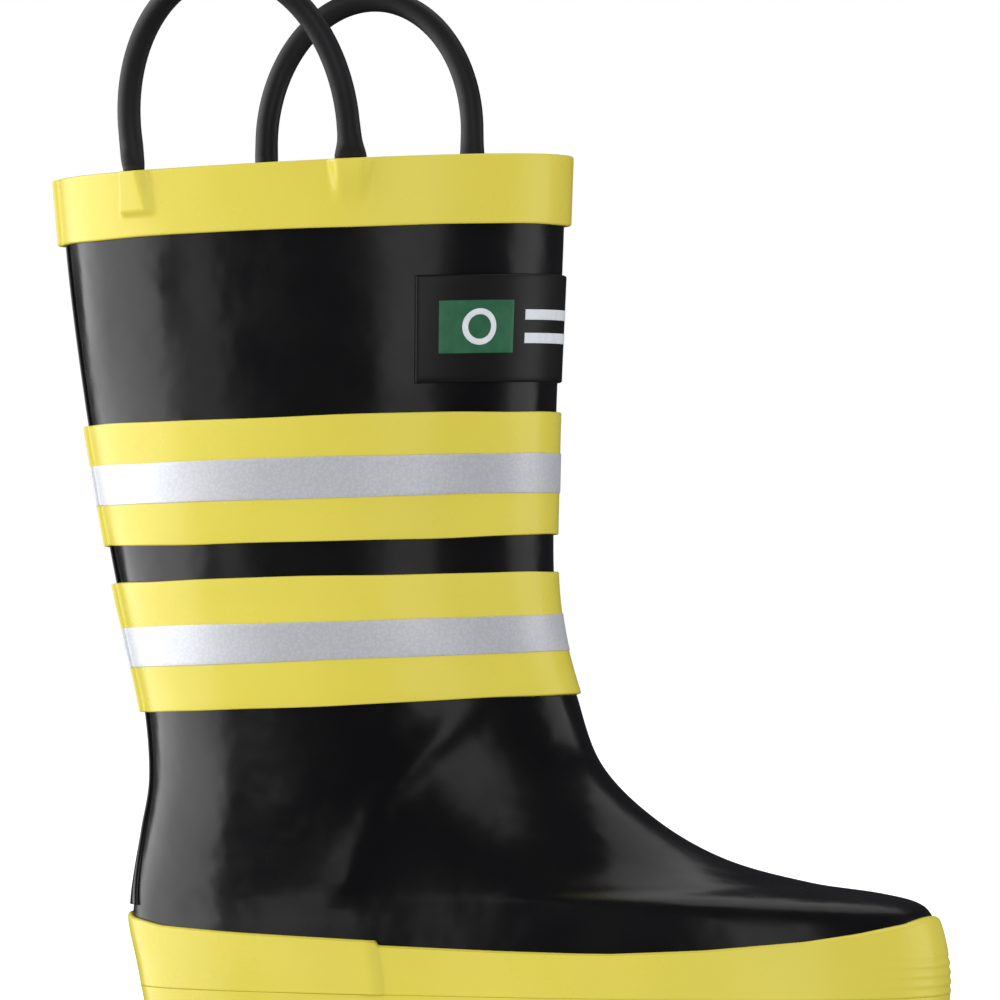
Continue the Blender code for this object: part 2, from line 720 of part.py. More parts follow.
def make_handle(side, handle):
    ends = []
    for place, angle, width in zip(("front", "rear"), handle["roots"], handle["widths"]):
        theta = math.radians(angle)
        make_root(f"handle_{side}_root_{place}", theta, width)
        rim, _, up, out = root_frame(theta)
        ends.append(rim + up * HINGE_RISE + out * STUB_OUT)
    pivot = (ends[0] + ends[1]) / 2.0
    along = (ends[0] - ends[1]) / 2.0
    half_span = np.linalg.norm(along)
    along /= half_span
    lean = math.radians(handle["lean"])
    rise = np.array([0.0, math.sin(lean), math.cos(lean)])
    rise -= along * rise.dot(along)
    rise /= np.linalg.norm(rise)

    track = []
    for share in (0.97, 0.85, 0.55, 0.0):
        track.append((half_span, -HANDLE_R * share, math.sqrt(1.0 - share * share)))
    arch = handle["height"] - LEG_STRAIGHT
    for turn in np.linspace(0.0, math.pi, 17):
        track.append((half_span * math.cos(turn), LEG_STRAIGHT + arch * math.sin(turn), 1.0))
    track += [(-x, z, size) for x, z, size in reversed(track[:4])]

    curve = bpy.data.curves.new(f"handle_{side}_loop", "CURVE")
    curve.dimensions = "3D"
    curve.bevel_depth = HANDLE_R * MM
    curve.bevel_resolution = 2
    curve.use_fill_caps = True
    spline = curve.splines.new("POLY")
    spline.points.add(len(track) - 1)
    for point, (x, z, size) in zip(spline.points, track):
        place = (along * x + rise * z) * MM
        point.co = (place[0], place[1], place[2], 1.0)
        point.radius = size
    loop = bpy.data.objects.new(f"handle_{side}_loop", curve)
    loop.location = (pivot - FRAME_CENTRE) * MM
    parts.objects.link(loop)
    finish_material(loop, BLACK, 0.45)


clear_scene()
make_upper()
make_back_strip()
make_lining()
make_stiffeners()
make_bands()
make_top_band()
make_label()
make_foxing()
make_outsole()
make_footbed()
for handle_side, handle_sizes in HANDLES.items():
    make_handle(handle_side, handle_sizes)
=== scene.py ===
"""The finished look of the child's rubber fire boot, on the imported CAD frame.

Lengths are in millimetres in the foot's own axes, as in part.py, and are scaled and
shifted to the row frame when a mesh is made. The surface functions repeat part.py's
on arrays, so that each piece is a fine version of its CAD node.
"""

import math

import bmesh
import bpy
import numpy as np
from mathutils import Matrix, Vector


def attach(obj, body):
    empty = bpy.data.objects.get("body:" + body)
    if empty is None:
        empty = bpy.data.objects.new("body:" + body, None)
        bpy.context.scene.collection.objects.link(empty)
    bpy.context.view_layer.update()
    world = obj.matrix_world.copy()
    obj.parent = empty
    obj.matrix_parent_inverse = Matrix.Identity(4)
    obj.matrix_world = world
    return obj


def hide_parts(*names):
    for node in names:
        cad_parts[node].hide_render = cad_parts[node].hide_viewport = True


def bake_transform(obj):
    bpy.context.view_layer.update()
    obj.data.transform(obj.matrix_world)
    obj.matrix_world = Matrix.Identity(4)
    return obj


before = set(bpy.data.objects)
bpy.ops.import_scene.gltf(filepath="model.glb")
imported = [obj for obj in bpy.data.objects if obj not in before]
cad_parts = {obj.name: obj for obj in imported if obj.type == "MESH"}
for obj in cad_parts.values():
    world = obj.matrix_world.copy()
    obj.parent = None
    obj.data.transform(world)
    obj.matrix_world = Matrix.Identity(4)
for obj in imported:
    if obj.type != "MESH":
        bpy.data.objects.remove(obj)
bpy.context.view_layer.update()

MM = 0.001
FRAME_CENTRE = np.array([-12.355, -0.402, 0.0])

SLICES = np.array([
    (-96.0, 14.0, 95.6, 14.0, 36.0, 0.66, 2.30, 2.50),
    (-98.9, 27.0, 97.4, 27.0, 36.6, 0.66, 2.30, 2.50),
    (-101.8, 37.0, 96.0, 39.0, 36.0, 0.65, 2.25, 2.45),
    (-102.4, 40.3, 93.0, 43.8, 35.4, 0.64, 2.20, 2.40),
    (-102.3, 42.8, 84.0, 46.4, 34.8, 0.62, 2.15, 2.35),
    (-101.9, 46.6, 66.0, 49.0, 33.6, 0.57, 2.10, 2.30),
    (-100.9, 52.6, 45.0, 54.6, 33.0, 0.51, 2.05, 2.20),
    (-99.2, 61.0, 28.0, 64.0, 33.2, 0.47, 2.05, 2.15),
    (-97.0, 73.2, 14.5, 77.0, 34.2, 0.45, 2.05, 2.10),
    (-97.9, 89.3, 8.0, 93.6, 36.0, 0.46, 2.05, 2.10),
    (-101.2, 104.5, 3.7, 108.0, 37.4, 0.47, 2.10, 2.10),
    (-105.0, 120.5, 1.9, 123.4, 38.4, 0.48, 2.10, 2.10),
    (-109.8, 145.0, 2.0, 148.0, 39.6, 0.49, 2.15, 2.10),
    (-113.1, 165.0, 2.4, 168.0, 40.4, 0.50, 2.20, 2.15),
    (-116.7, 192.0, 3.7, 196.0, 41.2, 0.50, 2.20, 2.20),
    (-119.3, 217.9, 4.7, 223.2, 42.0, 0.50, 2.20, 2.20),
])
STEPS = np.maximum(
    np.hypot(np.diff(SLICES[:, 0]), np.diff(SLICES[:, 1])),
    np.hypot(np.diff(SLICES[:, 2]), np.diff(SLICES[:, 3])),
)
LEVELS = np.concatenate([[0.0], np.cumsum(STEPS)])
TOP = LEVELS[-1]

# Each piece sits SEAT off the surface under it, and a pad's edge starts PAD_EDGE above that.
SEAT = 0.05
PAD_EDGE = 0.02
SHELL = 1.6
LINING_THICK = 1.0
LINING_GAP = 0.1
LINING_TUCK = 1.2
CUFF_START = 2.3
TAPE = 1.15
TOP_BAND = 1.7
BACK_STRIP = 0.9
PATCH = 1.0
PRINT = 0.16
PRINT_BASE = SEAT + PATCH
FIELD_Z = (172.4, 184.6)
LAP_LIFT = 1.1
SHELL_JOINT = 104.5
TOP_BAND_Z = 202.1
UPPER_TAPE_Z = (129.1, 139.2, 148.8, 158.6)
LOWER_TAPE_Z = (89.3, 100.3, 109.7, 120.5)
FOXING_LAP_ROWS = [4, 5]
ROOTS = {"lateral": (-70.3, -118.5), "medial": (67.0, 112.6)}
LOOPS = {"lateral": (41.5, -9.5), "medial": (38.5, 8.5)}
HANDLE_R = 2.8
HINGE_RISE = 5.0
STUB_OUT = 1.9
# The tab under the top band: depth below the rim, half width and half thickness.
TAB_ROWS = (
    (10.2, 3.1, 0.55), (9.8, 3.5, 0.7), (8.0, 3.5, 0.85),
    (5.0, 3.2, 1.05), (2.5, 3.1, 1.25), (0.8, 3.05, 1.4),
)
FOXING_BOTTOM = 22.9
FOXING_TOP = np.array([
    (-102.5, 41.3), (-98.0, 39.6), (-88.0, 38.0), (-68.0, 37.0), (-29.9, 35.7), (-29.3, 34.6),
    (0.0, 33.8), (27.0, 33.4), (51.0, 34.5), (74.0, 36.5), (85.0, 38.2), (94.0, 40.2), (97.0, 41.6),
])
SOLE_LINE = np.array([
    (-99.0, 1.2), (-91.0, 0.0), (-44.0, 0.0), (-36.0, 3.0), (-22.0, 3.2), (-8.0, 0.0),
    (58.0, 0.0), (80.0, 2.2), (99.0, 6.5),
])
GROOVES = [
    (-82.0, 18.0), (-73.0, 22.0), (-64.0, 23.5), (-55.0, 24.0),
    (2.0, 24.0), (12.0, 26.0), (22.0, 27.0), (32.0, 27.0), (42.0, 26.0), (52.0, 24.0),
]


def smooth(t):
    t = np.clip(t, 0.0, 1.0)
    return t * t * (3.0 - 2.0 * t)


def slice_at(level):
    i = np.clip(np.searchsorted(LEVELS, level) - 1, 0, len(LEVELS) - 2)
    span = LEVELS[i + 1] - LEVELS[i]
    t = ((level - LEVELS[i]) / span)[..., None]
    lower, upper = np.maximum(i - 1, 0), np.minimum(i + 2, len(LEVELS) - 1)
    first = (SLICES[i + 1] - SLICES[lower]) * (span / (LEVELS[i + 1] - LEVELS[lower]))[..., None]
    second = (SLICES[upper] - SLICES[i]) * (span / (LEVELS[upper] - LEVELS[i]))[..., None]
    return (
        (2 * t**3 - 3 * t**2 + 1) * SLICES[i]
        + (t**3 - 2 * t**2 + t) * first
        + (3 * t**2 - 2 * t**3) * SLICES[i + 1]
        + (t**3 - t**2) * second
    )


def footbed_drop(x):
    return 4.5 * smooth((x + 60.0) / 70.0) - 2.5 * smooth((x - 45.0) / 50.0)


def base_z(x):
    return 14.0 - footbed_drop(x)


def surface(theta, level):
    theta, level = np.broadcast_arrays(np.asarray(theta, float), np.asarray(level, float))
    xb, zb, xf, zf, width, widest, front, rear = np.moveaxis(slice_at(level), -1, 0)
    cosine, sine = np.cos(theta), np.sin(theta)
    power = 2.0 / np.where(cosine > 0, front, rear)
    reach = np.abs(cosine) ** power
    share = np.where(cosine > 0, widest + (1.0 - widest) * reach, widest - widest * reach)
    x = xb + (xf - xb) * share
    y = np.sign(sine) * width * np.abs(sine) ** power
    z = zb + (zf - zb) * share
    low = 1.0 - smooth((z - 30.0) / 50.0)
    waist = np.where(sine > 0, 0.09, 0.03)
    y = y * (1.0 - waist * low * np.exp(-(((x + 22.0) / 34.0) ** 2)))
    y = y + 5.0 * smooth((x - 10.0) / 85.0)
    z = z - footbed_drop(x) * (1.0 - smooth((z - 14.0) / 20.0))
    return np.stack([x, y, z], axis=-1)


def unit(v):
    return v / np.linalg.norm(v, axis=-1, keepdims=True)


def normal(theta, level):
    around = surface(theta + 0.02, level) - surface(theta - 0.02, level)
    up = surface(theta, np.minimum(level + 0.3, TOP)) - surface(theta, np.maximum(level - 0.3, 0.0))
    return unit(np.cross(around, up))


def raised(theta, level, lift):
    theta, level = np.broadcast_arrays(np.asarray(theta, float), np.asarray(level, float))
    return surface(theta, level) + normal(theta, level) * np.asarray(lift)[..., None]


def level_at_heel(z):
    return float(np.interp(z, SLICES[:, 1], LEVELS))


def level_at(theta, z):
    lower, upper = np.zeros_like(theta), np.full_like(theta, TOP)
    for _ in range(30):
        middle = (lower + upper) / 2.0
        under = surface(theta, middle)[..., 2] < z
        lower, upper = np.where(under, middle, lower), np.where(under, upper, middle)
    return lower


def at_height(theta, z, lift):
    z = np.broadcast_to(z, theta.shape)
    level = level_at(theta, z)
    point, aside = surface(theta, level), normal(theta, level)
    flat = np.hypot(aside[..., 0], aside[..., 1])
    return np.stack([
        point[..., 0] + aside[..., 0] / flat * lift,
        point[..., 1] + aside[..., 1] / flat * lift,
        z,
    ], axis=-1)


def outline(theta, inset, rise):
    point = surface(theta, 0.0)
    aside = surface(theta + 0.02, 0.0) - surface(theta - 0.02, 0.0)
    length = np.hypot(aside[..., 0], aside[..., 1])
    x = point[..., 0] - aside[..., 1] / length * inset
    y = point[..., 1] + aside[..., 0] / length * inset
    return np.stack([x, y, base_z(x) + rise(x)], axis=-1)


def circle(count):
    return np.linspace(-math.pi, math.pi, count, endpoint=False)


def add_mesh(name, points, faces, material, body="boot", nodes=(), slot=None):
    """A smooth closed mesh from points in millimetres, riding on a body."""
    mesh = bpy.data.meshes.new(name)
    points = (np.asarray(points, float).reshape(-1, 3) - FRAME_CENTRE) * MM
    mesh.from_pydata(points.tolist(), [], faces)
    build = bmesh.new()
    build.from_mesh(mesh)
    bmesh.ops.recalc_face_normals(build, faces=build.faces)
    build.to_mesh(mesh)
    build.free()
    mesh.shade_smooth()
    item = bpy.data.objects.new(name, mesh)
    bpy.context.scene.collection.objects.link(item)
    mesh.materials.append(material)
    if body:
        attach(item, body)
    if nodes:
        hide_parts(*nodes)
    return item


def grid_faces(rows, columns, wrap_rows, wrap_columns):
    i = np.arange(rows if wrap_rows else rows - 1)[:, None]
    j = np.arange(columns if wrap_columns else columns - 1)[None, :]
    n, k = (i + 1) % rows, (j + 1) % columns
    corners = (i * columns + j, i * columns + k, n * columns + k, n * columns + j)
    quads = np.stack(np.broadcast_arrays(*corners), -1)
    return quads.reshape(-1, 4).tolist()


def belt(name, material, thetas, low, high, thick, lift=None, base=SEAT, rows=14, radius=0.45, **more):
    """A band round the upper with rounded edges. low and high may vary with the angle."""
    low, high = np.broadcast_to(low, thetas.shape), np.broadcast_to(high, thetas.shape)
    r = min(radius, thick * 0.7)
    quarter = ((0.0, 1.0), (0.1, 0.55), (0.3, 0.27), (0.62, 0.07))
    corner = [(0.0, 0.0)] + [(r * inward, thick - r * down) for inward, down in quarter]
    profile = [(low + s, h) for s, h in corner]
    profile += [(low + r + (high - low - 2 * r) * t, thick) for t in np.linspace(0.0, 1.0, rows)]
    profile += [(high - s, h) for s, h in reversed(corner)]
    profile += [(high + (low - high) * t, 0.0) for t in np.linspace(0.0, 1.0, max(rows // 2, 3))[1:-1]]
    grid = []
    for level, height in profile:
        extra = lift(thetas, level) if lift else 0.0
        rise = np.broadcast_to(base + height + extra, thetas.shape)
        grid.append(raised(thetas, np.minimum(level, TOP), rise))
    return add_mesh(name, grid, grid_faces(len(grid), len(thetas), True, True), material, **more)


def pad(name, material, place, base, thick, across, along, radius, **more):
    """A raised patch with rounded edges.

    place(u, v) gives its points and normals for u and v from -1 to 1. across and along
    are each (rows, length).
    """

    def spread(count, size):
        edge = radius / size * 2.0
        ends = np.array([0.0, 0.06, 0.22, 0.5, 1.0]) * edge
        inner = np.linspace(-1.0 + edge, 1.0 - edge, count)
        return np.concatenate([-1.0 + ends[:-1], inner, 1.0 - ends[:-1][::-1]])

    u, v = np.meshgrid(spread(across[0], across[1]), spread(along[0], along[1]))

    def rise(t, size):
        inside = np.clip((1.0 - np.abs(t)) * size / 2.0 / radius, 0.0, 1.0)
        return np.sqrt(np.clip(1.0 - (1.0 - inside) ** 2, 0.0, 1.0))

    height = thick * np.minimum(rise(u, across[1]), rise(v, along[1]))
    points, normals = place(u, v)
    top = points + normals * (base + PAD_EDGE + height)[..., None]
    under = points + normals * base
    rows, columns = u.shape
    faces = grid_faces(rows, columns, False, False)
    count = rows * columns
    faces += [[count + k for k in reversed(f)] for f in faces]
    ring = [j for j in range(columns)] + [i * columns + columns - 1 for i in range(1, rows)]
    ring += [(rows - 1) * columns + j for j in range(columns - 2, -1, -1)]
    ring += [i * columns for i in range(rows - 2, 0, -1)]
    for a, b in zip(ring, ring[1:] + ring[:1]):
        faces.append([a, b, count + b, count + a])
    return add_mesh(name, [top, under], faces, material, **more)


# Materials ------------------------------------------------------------------------


def new_material(name, colour, roughness, metallic=0.0, specular=0.5):
    material = bpy.data.materials.new(name)
    material.use_nodes = True
    nodes, links = material.node_tree.nodes, material.node_tree.links
    shader = nodes["Principled BSDF"]
    shader.inputs["Base Color"].default_value = (*colour, 1.0)
    shader.inputs["Roughness"].default_value = roughness
    shader.inputs["Metallic"].default_value = metallic
    shader.inputs["Specular IOR Level"].default_value = specular
    return material, nodes, links, shader


def noise(nodes, links, scale, detail=3.0, stretch=(1.0, 1.0, 1.0), rough=0.5):
    where = nodes.new("ShaderNodeTexCoord")
    mapping = nodes.new("ShaderNodeMapping")
    mapping.inputs["Scale"].default_value = stretch
    links.new(where.outputs["Object"], mapping.inputs["Vector"])
    texture = nodes.new("ShaderNodeTexNoise")
    texture.inputs["Scale"].default_value = scale
    texture.inputs["Detail"].default_value = detail
    texture.inputs["Roughness"].default_value = rough
    links.new(mapping.outputs["Vector"], texture.inputs["Vector"])
    return texture.outputs["Fac"]


def spread_to(nodes, links, value, low, high, from_low=0.3, from_high=0.7):
    node = nodes.new("ShaderNodeMapRange")
    node.inputs["From Min"].default_value = from_low
    node.inputs["From Max"].default_value = from_high
    node.inputs["To Min"].default_value = low
    node.inputs["To Max"].default_value = high
    links.new(value, node.inputs["Value"])
    return node.outputs["Result"]


def blend_colours(nodes, links, value, first, second):
    node = nodes.new("ShaderNodeMix")
    node.data_type = "RGBA"
    node.inputs["A"].default_value = (*first, 1.0)
    node.inputs["B"].default_value = (*second, 1.0)
    links.new(value, node.inputs["Factor"])
    return node.outputs["Result"]


def bumps(nodes, links, shader, layers):
    """Stacked bump nodes; layers are (height socket, distance in millimetres)."""
    last = None
    for value, distance in layers:
        node = nodes.new("ShaderNodeBump")
        node.inputs["Strength"].default_value = 1.0
        node.inputs["Distance"].default_value = distance * MM
        links.new(value, node.inputs["Height"])
        if last:
            links.new(last, node.inputs["Normal"])
        last = node.outputs["Normal"]
    links.new(last, shader.inputs["Normal"])


def rubber(name, dark, light, roughness, wave=0.25, grain=0.004, specular=0.5, patch=18.0):
    material, nodes, links, shader = new_material(name, dark, roughness[0], specular=specular)
    cloud = noise(nodes, links, patch, 4.0)
    tone = spread_to(nodes, links, cloud, 0.0, 1.0)
    links.new(blend_colours(nodes, links, tone, dark, light), shader.inputs["Base Color"])
    links.new(spread_to(nodes, links, noise(nodes, links, 45.0, 5.0), *roughness), shader.inputs["Roughness"])
    bumps(nodes, links, shader, [
        (noise(nodes, links, 26.0, 1.0), wave),
        (noise(nodes, links, 62.0, 2.0), wave * 0.42),
        (noise(nodes, links, 900.0, 2.0), grain),
    ])
    return material


BLACK = rubber(
    "gloss_black_rubber", (0.0035, 0.0035, 0.004), (0.006, 0.006, 0.0068), (0.17, 0.33), wave=1.1
)
STRIP = rubber(
    "black_strip_rubber", (0.004, 0.004, 0.0045), (0.007, 0.007, 0.008), (0.16, 0.26), wave=0.15
)
HANDLE = rubber(
    "satin_handle_rubber", (0.008, 0.008, 0.009), (0.016, 0.016, 0.018), (0.38, 0.55),
    wave=0.08, grain=0.01,
)
YELLOW = rubber(
    "yellow_band_rubber", (0.70, 0.60, 0.06), (0.77, 0.665, 0.085), (0.22, 0.34),
    wave=0.3, grain=0.004,
)
FOXING = rubber(
    "yellow_foxing_rubber", (0.67, 0.575, 0.055), (0.74, 0.64, 0.08), (0.22, 0.36),
    wave=0.35, grain=0.005,
)
LABEL = rubber(
    "label_rubber", (0.006, 0.006, 0.0065), (0.011, 0.011, 0.012), (0.34, 0.46),
    wave=0.05, grain=0.006,
)


def reflective_film():
    material, nodes, links, shader = new_material("silver_reflective_film", (0.62, 0.64, 0.68), 0.44, 0.5)
    where = nodes.new("ShaderNodeTexCoord")
    cells = nodes.new("ShaderNodeTexVoronoi")
    cells.inputs["Scale"].default_value = 1300.0
    links.new(where.outputs["Object"], cells.inputs["Vector"])
    tone = spread_to(nodes, links, cells.outputs["Distance"], 0.0, 1.0, 0.0, 0.7)
    film = blend_colours(nodes, links, tone, (0.86, 0.88, 0.91), (0.74, 0.76, 0.80))
    links.new(film, shader.inputs["Base Color"])
    links.new(spread_to(nodes, links, noise(nodes, links, 60.0), 0.42, 0.52), shader.inputs["Roughness"])
    bumps(nodes, links, shader, [(noise(nodes, links, 40.0, 2.0), 0.1), (cells.outputs["Distance"], 0.01)])
    return material


def printed(name, dark, light, roughness):
    material, nodes, links, shader = new_material(name, dark, roughness)
    tone = spread_to(nodes, links, noise(nodes, links, 350.0, 4.0), 0.0, 1.0)
    links.new(blend_colours(nodes, links, tone, dark, light), shader.inputs["Base Color"])
    matt = spread_to(nodes, links, noise(nodes, links, 120.0), roughness - 0.06, roughness + 0.08)
    links.new(matt, shader.inputs["Roughness"])
    bumps(nodes, links, shader, [(noise(nodes, links, 1500.0, 2.0), 0.006)])
    return material


def knit(name, dark, light, pitch):
    """Ribs of fine stitches: two crossed waves with noise between."""
    material, nodes, links, shader = new_material(name, light, 0.92, specular=0.2)
    shader.inputs["Sheen Weight"].default_value = 0.25
    where = nodes.new("ShaderNodeTexCoord")
    heights = []
    for direction, scale in (("Z", pitch), ("DIAGONAL", pitch * 0.8)):
        wave = nodes.new("ShaderNodeTexWave")
        wave.bands_direction = direction
        wave.inputs["Scale"].default_value = scale
        wave.inputs["Distortion"].default_value = 1.2
        wave.inputs["Detail"].default_value = 1.0
        links.new(where.outputs["Object"], wave.inputs["Vector"])
        heights.append(wave.outputs["Fac"])
    product = nodes.new("ShaderNodeMath")
    product.operation = "MULTIPLY"
    links.new(heights[0], product.inputs[0])
    links.new(heights[1], product.inputs[1])
    links.new(blend_colours(nodes, links, product.outputs["Value"], dark, light), shader.inputs["Base Color"])
    links.new(spread_to(nodes, links, noise(nodes, links, 80.0), 0.85, 1.0), shader.inputs["Roughness"])
    bumps(nodes, links, shader, [(product.outputs["Value"], 0.12), (noise(nodes, links, 500.0, 4.0), 0.05)])
    return material


SILVER = reflective_film()
GREEN = printed("green_print", (0.018, 0.115, 0.05), (0.026, 0.145, 0.066), 0.36)
PALE = printed("pale_print", (0.66, 0.70, 0.73), (0.76, 0.79, 0.81), 0.42)
LINING = knit("lining_knit", (0.34, 0.335, 0.31), (0.62, 0.61, 0.57), 160.0)
COVER = knit("insole_cloth", (0.30, 0.30, 0.29), (0.55, 0.55, 0.53), 220.0)
FOAM = printed("insole_foam_grey", (0.16, 0.17, 0.18), (0.26, 0.27, 0.29), 0.85)
FIBRE = printed("fibre_board", (0.22, 0.14, 0.07), (0.42, 0.30, 0.17), 0.8)


# The upper --------------------------------------------------------------------------

ROUND = circle(240)


CREASE = np.array([(-4.0, 98.0), (-14.0, 86.0), (-28.4, 70.0), (-39.4, 46.0)])


def crease(theta, level):
    """A soft fold that runs down over the outer ankle, from the instep to the foxing."""
    point = surface(theta, level)
    x, y, z = point[..., 0], point[..., 1], point[..., 2]
    line = np.interp(z, CREASE[::-1, 1], CREASE[::-1, 0])
    fade = smooth((z - 40.0) / 10.0) * (1.0 - smooth((z - 84.0) / 14.0)) * (y < 0)
    return 0.9 * fade * np.exp(-(((x - line) / 5.0) ** 2))


def shell_piece(name, low, high, rows, nodes, rim):
    outer = [(level, 0.0) for level in np.linspace(low, high - (0.7 if rim else 0.0), rows)]
    turn = [(high - 0.25, -0.16), (high, -0.55), (high, -1.05), (high - 0.25, -1.45)] if rim else []
    inner = [(level, -SHELL) for level in np.linspace(high - (0.7 if rim else 0.0), low, rows // 2)]
    profile = outer + turn + inner
    grid = [raised(ROUND, level, lift + crease(ROUND, level)) for level, lift in profile]
    faces = grid_faces(len(grid), len(ROUND), True, True)
    return add_mesh(name, grid, faces, BLACK, nodes=nodes, slot="black_rubber")


joint = level_at_heel(SHELL_JOINT)
shell_piece("vamp_rubber", 0.0, joint - 0.05, 130, ["vamp_outer_shell", "vamp_inner_shell"], False)
shell_piece("shaft_rubber", joint + 0.05, TOP, 70, ["shaft_shell"], True)


def lining_depth(z):
    """How far in the lining starts: it makes room for the stiffeners round the foot."""
    return SHELL + LINING_GAP + LINING_TUCK * (1.0 - smooth((z - 72.0) / 20.0))


def lining():
    rows = []
    for level in np.linspace(TOP - 1.0, 6.0, 90):
        z = surface(ROUND, level)[..., 2]
        rows.append(raised(ROUND, level, -lining_depth(z)))
    cuff = base_z(surface(ROUND, 0.0)[..., 0]) + CUFF_START
    rows += [at_height(ROUND, cuff, -lining_depth(0.0) - inward) for inward in (0.0, LINING_THICK)]
    for level in np.linspace(6.0, TOP - 1.3, 90):
        z = surface(ROUND, level)[..., 2]
        rows.append(raised(ROUND, level, -lining_depth(z) - LINING_THICK))
    for down, inward in ((0.85, 0.75), (0.75, 0.35)):
        rows.append(raised(ROUND, TOP - down, np.full_like(ROUND, -SHELL - LINING_GAP - inward)))
    add_mesh(
        "knit_lining", rows, grid_faces(len(rows), len(ROUND), True, True), LINING,
        nodes=["lining_sock"], slot="lining_knit",
    )


lining()


def step_angle(theta, start, full):
    """0 before start degrees from the front, 1 after full, on both sides."""
    return smooth((np.degrees(np.abs(theta)) - start) / (full - start))


def lap(theta, level=None):
    return LAP_LIFT * step_angle(theta, 159.9, 161.3)


def wobble(theta, size, turn):
    """A hand-laid edge is never quite straight."""
    waves = ((2, 1.0, 0.6), (5, 2.1, 0.3), (11, 1.0, 0.12))
    return size * sum(share * np.sin(count * theta + phase * turn) for count, phase, share in waves)


def dense(extra):
    """Angles round the boot, closer together where a piece has steps."""
    more = [np.radians(np.linspace(first, last, count)) for first, last, count in extra]
    return np.unique(np.concatenate([circle(200), *more]))


LAP_SPANS = [(158.5, 163.0, 14), (-163.0, -158.5, 14)]
LAP_THETAS = dense(LAP_SPANS)
turn = 0.0
for name, heights in (("upper_tape", UPPER_TAPE_Z), ("lower_tape", LOWER_TAPE_Z)):
    turn += 1.3
    low, silver_low, silver_high, high = (level_at_heel(z) for z in heights)
    belt(
        name + "_rubber", YELLOW, LAP_THETAS, low + wobble(LAP_THETAS, 0.35, turn),
        high + wobble(LAP_THETAS, 0.35, turn + 2), TAPE, lift=lap, nodes=[name], slot="yellow_rubber",
    )
    belt(
        name + "_film", SILVER, LAP_THETAS, silver_low + wobble(LAP_THETAS, 0.2, turn + 1),
        silver_high + wobble(LAP_THETAS, 0.2, turn + 3), 0.22, lift=lap, base=SEAT + TAPE, radius=0.15,
        nodes=[name + "_silver"], slot="reflective_film",
    )


def back_strip():
    low, high = level_at_heel(42.2), level_at_heel(216.0)

    def place(u, v):
        theta = math.pi + u * math.radians(16.5)
        level = (low + high) / 2.0 + v * (high - low) / 2.0
        return surface(theta, level), normal(theta, level)

    pad(
        "back_strip_rubber", STRIP, place, SEAT, BACK_STRIP, (14, 26.0), (90, high - low), 0.6,
        nodes=["back_strip"], slot="black_rubber",
    )


back_strip()


def rim_arc(theta):
    step = surface(np.array(theta + 0.02), np.array(TOP)) - surface(np.array(theta - 0.02), np.array(TOP))
    return float(np.linalg.norm(step) / 0.04)


def root_bulge(theta, level):
    """The top band stretched over the four handle roots."""
    depth = TOP - level
    lift = np.zeros(np.broadcast(theta, depth).shape)
    for angles in ROOTS.values():
        for place, angle in enumerate(angles):
            angle = math.radians(angle)
            away = np.abs(theta - angle) * rim_arc(angle)
            if place:
                half = 2.7 + 0.12 * np.clip(depth, 0.0, 11.0)
                height = (2.9 - 0.12 * depth) * (1.0 - smooth((depth - 9.8) / 2.0))
                cover = 1.0 - smooth((away - half + 0.6) / 2.4)
            else:
                half = 3.4 - 0.08 * np.clip(depth, 0.0, 11.0)
                height = 3.0 * (1.0 - smooth((depth - 1.0) / 11.5))
                cover = 1.0 - smooth((away - half + 0.8) / 3.2)
            lift = np.maximum(lift, cover * height)
    return lift


def top_lift(theta, level):
    return np.maximum(lap(theta), root_bulge(theta, level))


spans = list(LAP_SPANS)
for angles in ROOTS.values():
    spans += [(angle - 9.0, angle + 9.0, 36) for angle in angles]
BAND_THETAS = dense(spans)
belt(
    "top_band_rubber", YELLOW, BAND_THETAS, level_at_heel(TOP_BAND_Z) + wobble(BAND_THETAS, 0.3, 5.0), TOP,
    TOP_BAND, lift=top_lift, rows=34, radius=0.6, nodes=["top_band"], slot="yellow_rubber",
)


# The label ---------------------------------------------------------------------------


